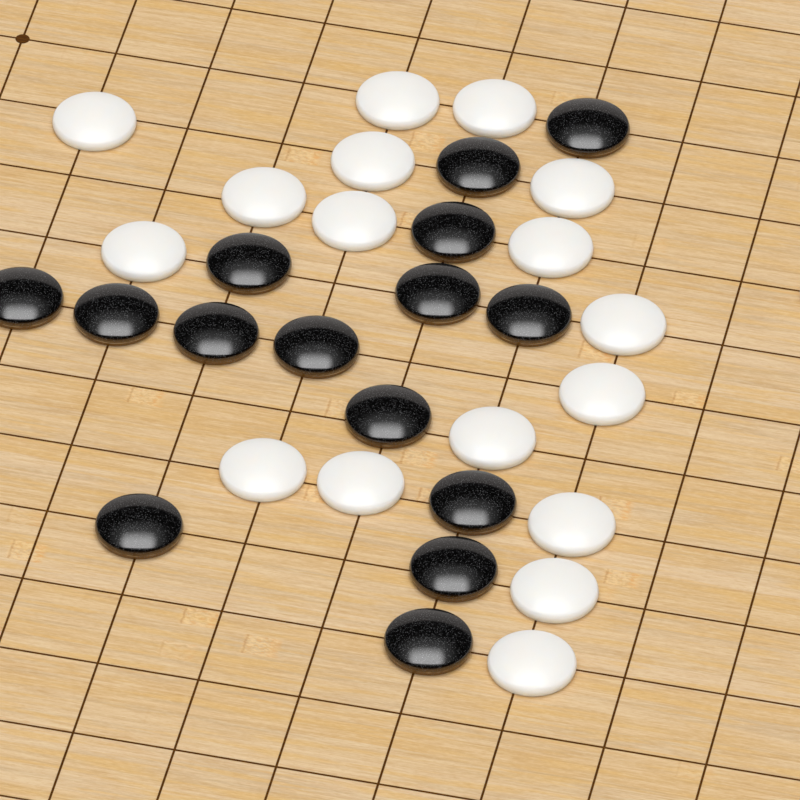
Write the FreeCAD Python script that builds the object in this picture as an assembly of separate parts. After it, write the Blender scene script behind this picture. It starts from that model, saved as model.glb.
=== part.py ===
import FreeCAD, Part
import math
import os

# A go board that is the lid of a shallow case. The case is split in two by a divider, and each
# half holds one drawer: the white stones live in the front drawer, the black ones in the back
# drawer. A game stands on the board.
#
# Frame: millimetres. The origin is on the table, under the middle of the board. X runs to the
# right and along the grain, Y runs away from the player at the front drawer, and Z is up.

# --- Playing field -------------------------------------------------------------------------
LINES = 19                  # lines each way
LINE_PITCH = 24.0           # from one line to the next, both ways
LINE_WIDTH = 0.55
INK_THICKNESS = 0.04        # one pass of ink
STAR_DIAMETER = 3.6
STAR_INDEX = 3              # star points stand this many lines in from the edge lines

# --- Board ---------------------------------------------------------------------------------
BOARD_MARGIN = 17.0         # bare wood outside the edge lines
BOARD_THICKNESS = 12.0
BOARD_CORNER_RADIUS = 5.0
BOARD_BEVEL = 1.2           # eased edge, above and below
BOARD_OVERHANG = 3.0        # the board stands out past the case by this much

# --- Stones --------------------------------------------------------------------------------
# Flat underneath, domed on top, and widest at the mould seam.
STONE_DIAMETER = 20.9
STONE_THICKNESS = 4.4
STONE_SEAM_HEIGHT = 1.2
STONE_SHOULDER_HEIGHT = 2.5  # where the upright rim turns into the dome
STONE_SHOULDER_INSET = 0.6
STONE_FOOT_INSET = 0.5       # the rounded lower edge
BLACK_STONE_EXTRA = 0.3      # black stones are this much thicker, all of it below the seam
STONE_FLATS = 16             # sides of the modelled stone
STONE_CROWN = 0.3            # flat on top of the dome, as a share of the radius
STONE_MIDDLE = 0.66          # ring half way down the dome, as a share of the radius

# --- Case ----------------------------------------------------------------------------------
SIDE_THICKNESS = 12.0
DIVIDER_THICKNESS = 10.0
BAY_HEIGHT = 28.0           # clear height between the base and the board
BASE_THICKNESS = 6.0
CASE_BEVEL = 0.8
HOUSING_DEPTH = 4.0         # the divider's ends are let into the sides
TONGUE_THICKNESS = 4.0      # the sides' top edges are let into the board
TONGUE_HEIGHT = 5.0
TONGUE_SETBACK = 20.0       # the tongues stop short of the ends
JOINT_FIT = 0.1             # glue gap round tongues, housings, spigots and grooved panels
STOP_RAIL_WIDTH = 10.0
STOP_RAIL_DROP = 4.0
RUNNER_WIDTH = 8.0
RUNNER_THICKNESS = 1.5
FOOT_DIAMETER = 16.0
FOOT_TOP_DIAMETER = 18.0
FOOT_HEIGHT = 4.0
FOOT_INSET = 28.0           # foot centre from the faces of the case

# --- Drawers -------------------------------------------------------------------------------
FACE_THICKNESS = 10.0
FACE_GAP = 0.6              # round the face, in its opening
FACE_BEVEL = 0.8
WALL_THICKNESS = 8.0
WALL_SIDE_GAP = 1.0         # between the box and the side of the bay
BOX_BACK_GAP = 2.0          # between the closed box and the divider
SLIDE_GAP = 0.3             # between the box and its runners
STOP_GAP = 0.3              # left where a stop meets its rail
RAIL_CLEARANCE = 1.2        # the box walls pass under the stop rail
CATCH_GAP = 0.8             # the back wall, which the rail catches, clears the board
FINGERS = 5                 # fingers and gaps up each corner of the box
PANEL_THICKNESS = 3.0
PANEL_GROOVE_DEPTH = 4.0
PANEL_RISE = 3.0            # from the underside of the box to the panel's groove

# --- Knobs and screws ----------------------------------------------------------------------
KNOB_DIAMETER = 16.0
KNOB_NECK_DIAMETER = 9.0
KNOB_NECK_LENGTH = 7.0
KNOB_HEAD_LENGTH = 6.0
KNOB_SPIGOT_LENGTH = 8.0    # glued into the face
BASE_SCREW_DIAMETER = 3.5
BASE_SCREW_LENGTH = 20.0
BASE_SCREW_SETBACK = 100.0  # from the ends of the side that they hold
SCREW_HEAD_RATIO = 2.0      # head diameter, in shank diameters
SCREW_FIT = 0.1             # hole larger than shank, on the radius
SCREW_TIP_ROOM = 0.5        # blind holes are deeper than their screws

# --- The game on the board -----------------------------------------------------------------
# Each stone is laid by hand near a crossing: column and row from the middle of the board, then
# how far it sits to the right and away, in shares of the gap that two neighbours leave.
WHITE_STONES = (
    (-2, 6, 0.14, -0.80), (-1, 6, 0.14, 0.08), (-5, 5, 0.43, -1.34), (-2, 5, -0.17, -0.85),
    (0, 5, 0.42, -0.30), (-3, 4, 0.15, 0.58), (-2, 4, -0.02, -0.55), (0, 4, 0.20, 0.02),
    (3, 4, 0.35, -0.08), (-4, 3, 0.20, -0.31), (1, 3, -0.17, 0.12), (1, 2, -0.17, -0.52),
    (0, 1, 0.39, 0.24), (-2, 0, -0.47, 0.27), (-1, 0, -0.61, 0.59), (1, 0, 0.55, -0.20),
    (1, -1, 0.76, 0.00), (1, -2, 0.74, -0.47),
)
BLACK_STONES = (
    (0, 6, 0.13, -0.57), (-1, 5, 0.39, 0.36), (-1, 4, 0.12, -0.08), (-3, 3, 0.82, 0.16),
    (-1, 3, 0.49, 0.15), (0, 3, 0.19, -0.62), (-5, 2, -0.07, -0.31), (-4, 2, -0.11, -0.42),
    (-3, 2, 0.21, -0.74), (-2, 2, 0.39, -0.45), (-1, 1, -0.20, 0.73), (0, 0, 0.45, 0.36),
    (-3, -1, -0.43, -0.47), (0, -1, 0.60, 0.48), (0, -2, 0.45, -0.07),
)

# --- Worked out from the sizes above -------------------------------------------------------
field_half = (LINES - 1) * LINE_PITCH / 2
board_half = field_half + BOARD_MARGIN
case_half = board_half - BOARD_OVERHANG
bay_half = case_half - SIDE_THICKNESS
base_top = FOOT_HEIGHT + BASE_THICKNESS
bay_top = base_top + BAY_HEIGHT
board_top = bay_top + BOARD_THICKNESS
divider_face = -DIVIDER_THICKNESS / 2

face_back = -case_half + FACE_THICKNESS
rail_front = face_back + STOP_GAP
rail_back = rail_front + STOP_RAIL_WIDTH
rail_underside = bay_top - STOP_RAIL_DROP
box_half = bay_half - WALL_SIDE_GAP
box_back = divider_face - BOX_BACK_GAP
box_underside = base_top + RUNNER_THICKNESS + SLIDE_GAP
box_top = rail_underside - RAIL_CLEARANCE
finger_height = (box_top - box_underside) / FINGERS
knob_height = base_top + BAY_HEIGHT / 2

drawer_travel = box_back - WALL_THICKNESS - STOP_GAP - rail_back

X_AXIS = FreeCAD.Vector(1, 0, 0)
Y_AXIS = FreeCAD.Vector(0, 1, 0)
Z_AXIS = FreeCAD.Vector(0, 0, 1)
ORIGIN = FreeCAD.Vector(0, 0, 0)


# --- Helpers -------------------------------------------------------------------------------
def block(x, y, z):
    """A box between two values on each axis, given as (low, high) pairs."""
    low = FreeCAD.Vector(x[0], y[0], z[0])
    return Part.makeBox(x[1] - x[0], y[1] - y[0], z[1] - z[0], low)


def across(half, fit=0.0):
    """A span centred on zero."""
    return (-half - fit, half + fit)


def mirrored(shape):
    """The same piece on the other side of the middle, left for right."""
    return shape.mirror(ORIGIN, X_AXIS)


def turned(shape):
    """The same piece of the other drawer, which faces the other way."""
    copy = shape.copy()
    copy.rotate(ORIGIN, Z_AXIS, 180)
    return copy


def edges_where(shape, test):
    """The edges whose ends both pass the test."""
    return [edge for edge in shape.Edges if all(test(vertex.Point) for vertex in edge.Vertexes)]


def upright_edges(edges):
    return [edge for edge in edges if abs(edge.tangentAt(edge.FirstParameter).z) > 0.5]


def flat_face(corners):
    return Part.Face(Part.makePolygon(corners + corners[:1]))


def countersunk(diameter, length):
    """A countersunk screw or its hole, head at the origin and shank down Z."""
    radius = diameter / 2
    head_radius = radius * SCREW_HEAD_RATIO
    head_depth = head_radius - radius
    outline = [(0, 0), (head_radius, 0), (radius, -head_depth), (radius, -length), (0, -length)]
    points = [FreeCAD.Vector(across_axis, 0, height) for across_axis, height in outline]
    return flat_face(points).revolve(ORIGIN, Z_AXIS, 360)


def screw_hole(diameter, length):
    return countersunk(diameter + 2 * SCREW_FIT, length + SCREW_TIP_ROOM)


# --- Playing board, ink and stones ---------------------------------------------------------
def tongue(fit=0.0):
    """The right side's tongue, or with a fit the groove it is glued into."""
    middle = (bay_half + case_half) / 2
    return block(
        (middle - TONGUE_THICKNESS / 2 - fit, middle + TONGUE_THICKNESS / 2 + fit),
        across(case_half - TONGUE_SETBACK, fit),
        (bay_top, bay_top + TONGUE_HEIGHT + fit),
    )


def playing_board():
    board = block(across(board_half), across(board_half), (bay_top, board_top))
    board = board.makeFillet(BOARD_CORNER_RADIUS, upright_edges(board.Edges))
    middle = (bay_top + board_top) / 2
    rim = edges_where(board, lambda point: point.z > middle)
    rim += edges_where(board, lambda point: point.z < middle)
    board = board.makeChamfer(BOARD_BEVEL, rim)
    return board.cut([tongue(JOINT_FIT), mirrored(tongue(JOINT_FIT))])


def line_places():
    return [index * LINE_PITCH - field_half for index in range(LINES)]


def star_places():
    middle = (LINES - 1) // 2
    indices = sorted({STAR_INDEX, middle, LINES - 1 - STAR_INDEX})
    return [index * LINE_PITCH - field_half for index in indices]


def grid_lines():
    """The rows and star points are printed first, and the columns over them."""
    half_width = LINE_WIDTH / 2
    length = across(field_half, half_width)
    first_pass = (board_top, board_top + INK_THICKNESS)
    second_pass = (first_pass[1], first_pass[1] + INK_THICKNESS)
    rows = []
    for place in line_places():
        row = block(length, (place - half_width, place + half_width), first_pass)
        if place in star_places():
            base = [FreeCAD.Vector(star, place, board_top) for star in star_places()]
            row = row.fuse([Part.makeCylinder(STAR_DIAMETER / 2, INK_THICKNESS, at) for at in base])
            row = row.removeSplitter()
        rows.append(row)
    columns = []
    for place in line_places():
        columns.append(block((place - half_width, place + half_width), length, second_pass))
    return Part.makeCompound(rows + columns)


def stone(extra):
    """One stone standing at the origin, as a many-sided turning: foot, seam, shoulder, dome."""
    radius = STONE_DIAMETER / 2
    shoulder = radius - STONE_SHOULDER_INSET
    rise = STONE_THICKNESS - STONE_SHOULDER_HEIGHT
    dome = (shoulder ** 2 + rise ** 2) / (2 * rise)
    middle = radius * STONE_MIDDLE
    middle_height = STONE_THICKNESS - dome + math.sqrt(dome ** 2 - middle ** 2)
    rings = [
        (radius * STONE_CROWN, extra + STONE_THICKNESS),
        (middle, extra + middle_height),
        (shoulder, extra + STONE_SHOULDER_HEIGHT),
        (radius, extra + STONE_SEAM_HEIGHT),
        (radius - STONE_FOOT_INSET, 0),
    ]
    polygons = []
    for size, height in rings:
        corners = []
        for flat in range(STONE_FLATS):
            angle = 2 * math.pi * flat / STONE_FLATS
            corners.append(FreeCAD.Vector(size * math.cos(angle), size * math.sin(angle), height))
        polygons.append(corners)
    faces = [flat_face(polygons[0]), flat_face(polygons[-1])]
    for above, below in zip(polygons, polygons[1:]):
        for flat in range(STONE_FLATS):
            after = (flat + 1) % STONE_FLATS
            faces.append(flat_face([above[flat], above[after], below[after], below[flat]]))
    return Part.Solid(Part.Shell(faces))


def stones(places, extra=0.0):
    """All stones of one colour, standing on the ink at their crossings."""
    gap = LINE_PITCH - STONE_DIAMETER
    height = board_top + 2 * INK_THICKNESS
    pieces = []
    for column, row, right, away in places:
        piece = stone(extra)
        x = column * LINE_PITCH + right * gap
        y = row * LINE_PITCH + away * gap
        piece.translate(FreeCAD.Vector(x, y, height))
        pieces.append(piece)
    return Part.makeCompound(pieces)


# --- Case ----------------------------------------------------------------------------------
def divider(fit=0.0):
    """The divider, or with a fit the shape that its housings are cut with."""
    return block(
        across(bay_half + HOUSING_DEPTH - JOINT_FIT, fit),
        across(DIVIDER_THICKNESS / 2, fit),
        (base_top, bay_top),
    )


def base_screw_places():
    """Two screws up into the edge of each side: undone, they free the base and the drawers."""
    side_middle = (bay_half + case_half) / 2
    end = case_half - BASE_SCREW_SETBACK
    return [(x, y) for x in (-side_middle, side_middle) for y in (-end, end)]


def base_screw_set(piece):
    """The screw or hole at every place, head down against the underside of the base."""
    copies = []
    for x, y in base_screw_places():
        copy = piece.copy()
        copy.rotate(ORIGIN, X_AXIS, 180)
        copy.translate(FreeCAD.Vector(x, y, FOOT_HEIGHT))
        copies.append(copy)
    return copies


def base_screw_holes():
    return base_screw_set(screw_hole(BASE_SCREW_DIAMETER, BASE_SCREW_LENGTH))


def right_side():
    side = block((bay_half, case_half), across(case_half), (base_top, bay_top))
    middle = (bay_half + case_half) / 2
    outer_corners = upright_edges(edges_where(side, lambda point: point.x > middle))
    side = side.makeChamfer(CASE_BEVEL, outer_corners).fuse(tongue())
    return side.cut([divider(JOINT_FIT)] + base_screw_holes())


def base_panel():
    panel = block(across(case_half), across(case_half), (FOOT_HEIGHT, base_top))
    rim = edges_where(panel, lambda point: point.z < (FOOT_HEIGHT + base_top) / 2)
    return panel.makeChamfer(CASE_BEVEL, rim).cut(base_screw_holes())


def base_screws():
    return Part.makeCompound(base_screw_set(countersunk(BASE_SCREW_DIAMETER, BASE_SCREW_LENGTH)))


def stop_rail():
    """Glued under the board behind the front opening: the drawer's stop both ways."""
    return block(across(bay_half), (rail_front, rail_back), (rail_underside, bay_top))


def runners():
    """The two strips that the front drawer's walls slide on."""
    strip = block(
        (box_half - RUNNER_WIDTH, box_half),
        (rail_front, divider_face),
        (base_top, base_top + RUNNER_THICKNESS),
    )
    return Part.makeCompound([strip, mirrored(strip)])


def feet():
    place = case_half - FOOT_INSET
    pieces = []
    for x in (-place, place):
        for y in (-place, place):
            at = FreeCAD.Vector(x, y, 0)
            pieces.append(Part.makeCone(FOOT_DIAMETER / 2, FOOT_TOP_DIAMETER / 2, FOOT_HEIGHT, at))
    return Part.makeCompound(pieces)


# --- Drawer, drawn at the front ------------------------------------------------------------
def finger_notches(first):
    """Corner blocks to cut away: every second finger height, from the first one given."""
    notches = []
    for finger in range(first, FINGERS, 2):
        low = box_underside + finger * finger_height
        for y in ((face_back, face_back + WALL_THICKNESS), (box_back - WALL_THICKNESS, box_back)):
            corner = block((box_half - WALL_THICKNESS, box_half), y, (low, low + finger_height))
            notches += [corner, mirrored(corner)]
    return notches


def bottom_panel(fit=0.0):
    """The drawer's bottom, or with a fit the groove round the walls that holds it."""
    reach = PANEL_GROOVE_DEPTH - WALL_THICKNESS - JOINT_FIT
    low = box_underside + PANEL_RISE + JOINT_FIT
    return block(
        across(box_half + reach, fit),
        (face_back - reach - fit, box_back + reach + fit),
        (low - fit, low + PANEL_THICKNESS + fit),
    )


def drawer_face():
    face = block(
        across(bay_half - FACE_GAP),
        (-case_half, face_back),
        (base_top + FACE_GAP, bay_top - FACE_GAP),
    )
    rim = edges_where(face, lambda point: point.y < (face_back - case_half) / 2)
    mouth = FreeCAD.Vector(0, -case_half, knob_height)
    radius = KNOB_NECK_DIAMETER / 2 + JOINT_FIT
    spigot_hole = Part.makeCylinder(radius, KNOB_SPIGOT_LENGTH + JOINT_FIT, mouth, Y_AXIS)
    return face.makeChamfer(FACE_BEVEL, rim).cut(spigot_hole)


def wall_across(front, height):
    """A front or back wall of the box, with fingers at both ends."""
    wall = block(
        across(box_half),
        (front, front + WALL_THICKNESS),
        (box_underside, box_underside + height),
    )
    return wall.cut(finger_notches(1) + [bottom_panel(JOINT_FIT)])


def box_front():
    return wall_across(face_back, box_top - box_underside)


def box_back_wall():
    """Taller than the rest of the box, so that the stop rail catches it."""
    return wall_across(box_back - WALL_THICKNESS, bay_top - CATCH_GAP - box_underside)


def box_right_wall():
    wall = block(
        (box_half - WALL_THICKNESS, box_half),
        (face_back, box_back),
        (box_underside, box_top),
    )
    return wall.cut(finger_notches(0) + [bottom_panel(JOINT_FIT)])


def knob():
    """Turned in one piece with its spigot: a plain neck and a drum head."""
    stem_length = KNOB_SPIGOT_LENGTH + KNOB_NECK_LENGTH
    spigot_end = FreeCAD.Vector(0, -case_half + KNOB_SPIGOT_LENGTH, knob_height)
    neck_end = FreeCAD.Vector(0, -case_half - KNOB_NECK_LENGTH, knob_height)
    stem = Part.makeCylinder(KNOB_NECK_DIAMETER / 2, stem_length, spigot_end, -Y_AXIS)
    head = Part.makeCylinder(KNOB_DIAMETER / 2, KNOB_HEAD_LENGTH, neck_end, -Y_AXIS)
    return stem.fuse(head).removeSplitter()


# --- Build and write -----------------------------------------------------------------------
drawer = {
    "drawer_face": drawer_face(),
    "box_front": box_front(),
    "box_back": box_back_wall(),
    "box_right": box_right_wall(),
    "box_left": mirrored(box_right_wall()),
    "box_bottom": bottom_panel(),
    "knob": knob(),
}

nodes = {
    "playing_board": playing_board(),
    "grid_lines": grid_lines(),
    "white_stones": stones(WHITE_STONES),
    "black_stones": stones(BLACK_STONES, BLACK_STONE_EXTRA),
    "left_side": mirrored(right_side()),
    "right_side": right_side(),
    "centre_divider": divider(),
    "base_panel": base_panel(),
    "base_screws": base_screws(),
    "front_stop_rail": stop_rail(),
    "back_stop_rail": turned(stop_rail()),
    "front_runners": runners(),
    "back_runners": turned(runners()),
    "feet": feet(),
}
for name, piece in drawer.items():
    nodes["front_" + name] = piece
    nodes["back_" + name] = turned(piece)

os.makedirs("parts", exist_ok=True)
for name, shape in nodes.items():
    shape.exportStep(os.path.join("parts", name + ".step"))

print(len(nodes), "nodes; each drawer slides", round(drawer_travel, 1), "mm")
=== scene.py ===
# %% [markdown]
# # A bamboo go board with two stone drawers
#
# This notebook dresses a go board that is the lid of a shallow case. The case holds two drawers,
# one that opens to the front and one that opens to the back. The carpentry comes as a finished
# frame of solids: boards, box walls, rails and knobs, each at its real size and place. What is
# left to do here is what the eye and the fingertips notice: the bamboo, the printed lines, the
# polish of the stones, and the small turned and moulded pieces whose rounding the solids leave out.
#
# Every length is in metres. `MM` turns a maker's millimetres into metres.

# %% Load the frame
import itertools
import math
import random

import bpy
import numpy as np
from mathutils import Matrix, Vector


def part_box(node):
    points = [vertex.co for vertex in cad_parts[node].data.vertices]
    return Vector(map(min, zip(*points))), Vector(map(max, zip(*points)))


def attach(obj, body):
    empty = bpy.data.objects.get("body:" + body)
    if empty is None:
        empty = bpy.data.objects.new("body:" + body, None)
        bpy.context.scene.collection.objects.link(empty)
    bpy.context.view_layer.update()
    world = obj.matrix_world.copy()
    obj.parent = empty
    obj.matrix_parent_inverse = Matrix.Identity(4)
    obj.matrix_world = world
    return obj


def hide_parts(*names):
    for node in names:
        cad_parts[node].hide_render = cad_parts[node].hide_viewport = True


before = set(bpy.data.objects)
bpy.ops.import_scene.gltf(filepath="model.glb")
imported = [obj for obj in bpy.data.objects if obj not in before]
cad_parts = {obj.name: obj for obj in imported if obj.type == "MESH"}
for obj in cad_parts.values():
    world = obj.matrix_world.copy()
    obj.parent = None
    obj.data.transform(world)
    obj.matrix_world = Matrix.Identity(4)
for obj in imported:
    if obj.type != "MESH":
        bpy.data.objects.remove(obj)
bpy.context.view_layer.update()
MM = 0.001
scene = bpy.context.scene
scene.view_settings.view_transform = "Standard"

# %% [markdown]
# ## Where the viewer sits
#
# The game is seen by a person who leans over the board from the front drawer's side, a little to
# the right. A long lens far away keeps the grid almost parallel. The camera could be aimed with a
# Track To constraint, but that hides where it really is. Here its place is worked out from two
# angles, a distance and the point on the board that it looks at, and its rotation matrix is built
# from the three directions that these give.

# %% Camera
CAMERA_AZIMUTH = math.radians(11.30)     # to the right of straight ahead
CAMERA_ELEVATION = math.radians(41.79)
CAMERA_ROLL = math.radians(1.60)
CAMERA_DISTANCE = 2.3097
CAMERA_LENS = 433.92                     # mm, on a 36 mm sensor
CAMERA_REACH = 40.0                      # as far as the floor's far corners
CAMERA_TARGET = Vector((-23.43, 34.22, 50.0)) * MM


def direction(azimuth, elevation):
    """The unit vector towards a point that far round and that high, from the board."""
    level = math.cos(elevation)
    return Vector((math.sin(azimuth) * level, -math.cos(azimuth) * level, math.sin(elevation)))


def aim_matrix(azimuth, elevation, roll, target, distance):
    back = direction(azimuth, elevation)
    right = Vector((0, 0, 1)).cross(back).normalized()
    up = back.cross(right)
    rolled_right = right * math.cos(roll) + up * math.sin(roll)
    rolled_up = up * math.cos(roll) - right * math.sin(roll)
    matrix = Matrix((rolled_right, rolled_up, back)).transposed().to_4x4()
    matrix.translation = target + back * distance
    return matrix


camera = bpy.data.objects.new("camera", bpy.data.cameras.new("camera"))
camera.data.lens = CAMERA_LENS
camera.data.clip_end = CAMERA_REACH
camera.matrix_world = aim_matrix(
    CAMERA_AZIMUTH, CAMERA_ELEVATION, CAMERA_ROLL, CAMERA_TARGET, CAMERA_DISTANCE
)
scene.collection.objects.link(camera)
scene.camera = camera
print("camera at", [round(value, 3) for value in camera.matrix_world.translation])

# %% [markdown]
# ## A helper for shader trees
#
# Materials made in code turn into long lists of links. This small class keeps each step on one
# line: nearly every method adds one node and gives back the socket that the next step needs. A
# value in the inputs may be a number, a colour or another socket. Only sockets make links, so a
# number always stays on the node itself.

# %% Shader recipes
def srgb(red, green, blue):
    """A paint chart's colour, 0 to 255, turned into the linear light that shaders use."""
    linear = []
    for value in (red, green, blue):
        share = value / 255
        linear.append(share / 12.92 if share <= 0.04045 else ((share + 0.055) / 1.055) ** 2.4)
    return (*linear, 1.0)


class Recipe:
    """Adds nodes to one shader tree."""

    def __init__(self, tree):
        self.tree = tree

    def fill(self, sockets, values):
        """Links or sets the named sockets, of a node's inputs or a group's output node."""
        for name, value in values.items():
            if isinstance(value, bpy.types.NodeSocket):
                self.tree.links.new(value, sockets[name])
            else:
                sockets[name].default_value = value

    def node(self, kind, inputs=None, **settings):
        made = self.tree.nodes.new(kind)
        for name, value in settings.items():
            setattr(made, name, value)
        self.fill(made.inputs, inputs or {})
        return made

    def group(self, tree, inputs):
        return self.node("ShaderNodeGroup", inputs, node_tree=tree).outputs

    def place(self):
        """The point's own place on the piece, in metres."""
        return self.node("ShaderNodeTexCoord").outputs["Object"]

    def bump(self, height, strength, distance):
        inputs = {"Height": height, "Strength": strength, "Distance": distance}
        return self.node("ShaderNodeBump", inputs).outputs[0]

    def math(self, operation, first, second=0.0):
        return self.node("ShaderNodeMath", {0: first, 1: second}, operation=operation).outputs[0]

    def plus(self, first, second):
        return self.math("ADD", first, second)

    def minus(self, first, second):
        return self.math("SUBTRACT", first, second)

    def times(self, first, second):
        return self.math("MULTIPLY", first, second)

    def vector(self, operation, first, second):
        inputs = {0: first, 1: second}
        return self.node("ShaderNodeVectorMath", inputs, operation=operation).outputs[0]

    def dot(self, first, second):
        inputs = {0: first, 1: second}
        made = self.node("ShaderNodeVectorMath", inputs, operation="DOT_PRODUCT")
        return made.outputs["Value"]

    def split(self, vector):
        return self.node("ShaderNodeSeparateXYZ", {0: vector}).outputs

    def join(self, x=0.0, y=0.0, z=0.0):
        return self.node("ShaderNodeCombineXYZ", {0: x, 1: y, 2: z}).outputs[0]

    def parts(self, colour):
        """The red, green and blue of a colour."""
        return self.node("ShaderNodeSeparateColor", {0: colour}).outputs

    def mix(self, share, first, second, blend="MIX"):
        """Between two colours."""
        inputs = {0: share, 6: first, 7: second}
        return self.node("ShaderNodeMix", inputs, data_type="RGBA", blend_type=blend).outputs[2]

    def layers(self, tone, layers):
        """Lays (share, colour) pairs over a tone, one after another."""
        for share, colour in layers:
            tone = self.mix(share, tone, colour)
        return tone

    def between(self, share, first, second):
        """Between two numbers."""
        inputs = {0: share, 2: first, 3: second}
        return self.node("ShaderNodeMix", inputs, data_type="FLOAT").outputs[0]

    def ease(self, value, low, high, to_low=0.0, to_high=1.0):
        """Smooth step: to_low where value is at low, to_high where it is at high."""
        inputs = {0: value, 1: low, 2: high, 3: to_low, 4: to_high}
        made = self.node("ShaderNodeMapRange", inputs, interpolation_type="SMOOTHSTEP")
        return made.outputs[0]

    def noise(self, vector, scale=1.0, detail=2.0, roughness=0.5):
        inputs = {"Vector": vector, "Scale": scale, "Detail": detail, "Roughness": roughness}
        return self.node("ShaderNodeTexNoise", inputs).outputs["Fac"]

    def drawn_out(self, vector, grain, detail=2.0, roughness=0.5):
        """A noise with its own scale for each of three directions."""
        return self.noise(self.vector("MULTIPLY", vector, grain), 1.0, detail, roughness)

    def ramp(self, value, stops, interpolation="LINEAR"):
        """A colour ramp from (place, colour) pairs in rising order."""
        made = self.node("ShaderNodeValToRGB", {0: value})
        made.color_ramp.interpolation = interpolation
        elements = made.color_ramp.elements
        for place, colour in stops[1:-1]:
            elements.new(place).color = colour
        elements[0].position, elements[0].color = stops[0]
        elements[-1].position, elements[-1].color = stops[-1]
        return made.outputs["Color"]


print("recipes ready, a mid grey is", round(srgb(128, 128, 128)[0], 3), "in linear light")

# %% [markdown]
# Two more helpers start a recipe: one for a node group, one for a material. Shared effects go into
# groups, and the Principled BSDF stays in the material.

# %% New groups and materials
def new_group(name, inputs, outputs):
    """An empty node group: gives its recipe, its input sockets and its output node."""
    tree = bpy.data.node_groups.new(name, "ShaderNodeTree")
    for label, kind, default in inputs:
        socket = tree.interface.new_socket(name=label, in_out="INPUT", socket_type=kind)
        if default is not None:
            socket.default_value = default
    for label, kind in outputs:
        tree.interface.new_socket(name=label, in_out="OUTPUT", socket_type=kind)
    recipe = Recipe(tree)
    return recipe, recipe.node("NodeGroupInput").outputs, recipe.node("NodeGroupOutput").inputs


def new_material(name):
    """A material with a Principled BSDF: gives the material, its recipe and the shader node."""
    material = bpy.data.materials.new(name)
    material.use_nodes = True
    recipe = Recipe(material.node_tree)
    return material, recipe, material.node_tree.nodes["Principled BSDF"]


print("helpers ready:", new_group.__name__, "and", new_material.__name__)

# %% [markdown]
# ## Studio light
#
# The board lies under one softbox that hangs overhead, a little to the far side. Behind the board
# stands a warm grey wall. Everything else is dark, which gives the black stones their deep middle
# and the grey crescent along their far rim. Area lamps could do this, but a softbox's glow also
# fades softly towards one side. So both are painted on the world, by direction: a lamp with no
# distance falls evenly on every line of the board. The direction is projected on a flat ceiling
# one metre up, where the softbox is a rectangle with a faint halo round it.

# %% Softbox
SOFTBOX_STRENGTH = 5.5
SOFTBOX_MIDDLE = -0.025         # metres on the ceiling, as are the next nine
SOFTBOX_HALF_WIDTH = 0.27
SOFTBOX_SIDE_FADE = 0.09
SOFTBOX_NEAR = 0.06             # its sharp edge, almost straight overhead
SOFTBOX_NEAR_FADE = 0.015
SOFTBOX_FULL = 0.20             # from here it fades
SOFTBOX_FAR = 0.58
HALO_SIDE = (0.62, 0.15)        # from nothing to full, towards the softbox
HALO_FAR = (0.97, 0.38)
HALO_NEAR = (-0.1, 0.12)
HALO_SHARE = 0.113              # of the softbox's light
CEILING_START = (0.4, 0.55)     # by the upward part of the direction
HORIZON_GUARD = 0.2             # keeps the projection finite
LATERAL = Vector((math.cos(CAMERA_AZIMUTH), math.sin(CAMERA_AZIMUTH), 0))
AWAY = Vector((-math.sin(CAMERA_AZIMUTH), math.cos(CAMERA_AZIMUTH), 0))


def softbox_light(recipe, ray, height):
    ceiling = recipe.math("MAXIMUM", height, HORIZON_GUARD)
    side = recipe.math("DIVIDE", recipe.dot(ray, LATERAL), ceiling)
    side = recipe.math("ABSOLUTE", recipe.minus(side, SOFTBOX_MIDDLE))
    reach = recipe.math("DIVIDE", recipe.dot(ray, AWAY), ceiling)
    across = recipe.ease(
        side, SOFTBOX_HALF_WIDTH + SOFTBOX_SIDE_FADE, SOFTBOX_HALF_WIDTH - SOFTBOX_SIDE_FADE
    )
    near = recipe.ease(reach, SOFTBOX_NEAR - SOFTBOX_NEAR_FADE, SOFTBOX_NEAR + SOFTBOX_NEAR_FADE)
    far = recipe.ease(reach, SOFTBOX_FAR, SOFTBOX_FULL)
    glow = recipe.times(recipe.times(across, near), far)
    halo = recipe.times(recipe.ease(side, *HALO_SIDE), recipe.ease(reach, *HALO_FAR))
    halo = recipe.times(halo, recipe.ease(reach, *HALO_NEAR, 0.0, HALO_SHARE))
    glow = recipe.times(recipe.math("MAXIMUM", glow, halo), recipe.ease(height, *CEILING_START))
    return recipe.times(glow, SOFTBOX_STRENGTH)


print("softbox spans", round(math.degrees(math.atan(SOFTBOX_HALF_WIDTH)) * 2), "degrees across")

# %% [markdown]
# The wall is a band above the horizon on the far side. It is brighter at its foot, and it fades
# towards both sides. Only its light has a tint.

# %% Wall
WALL_TOP = math.sin(math.radians(26))       # upward parts of the direction, as is the next
WALL_EDGE = 0.03
WALL_FOOT_LIGHT = 0.62
WALL_TOP_LIGHT = 0.40
WALL_HALF_WIDTH = math.radians(35)
WALL_FADE = math.radians(70)
WALL_TINT = (1.03, 0.955, 0.915)


def wall_light(recipe, ray, height):
    level = recipe.vector("MULTIPLY", ray, (1, 1, 0))
    level = recipe.node("ShaderNodeVectorMath", {0: level}, operation="NORMALIZE").outputs[0]
    behind = recipe.ease(recipe.dot(level, AWAY), math.cos(WALL_FADE), math.cos(WALL_HALF_WIDTH))
    wall = recipe.ease(height, 0.0, WALL_TOP, WALL_FOOT_LIGHT, WALL_TOP_LIGHT)
    edge = recipe.ease(height, WALL_TOP + WALL_EDGE, WALL_TOP - WALL_EDGE)
    wall = recipe.times(recipe.times(wall, edge), behind)
    return recipe.vector("MULTIPLY", recipe.join(wall, wall, wall), WALL_TINT)


print("wall reaches", round(math.degrees(math.asin(WALL_TOP))), "degrees up")

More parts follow.
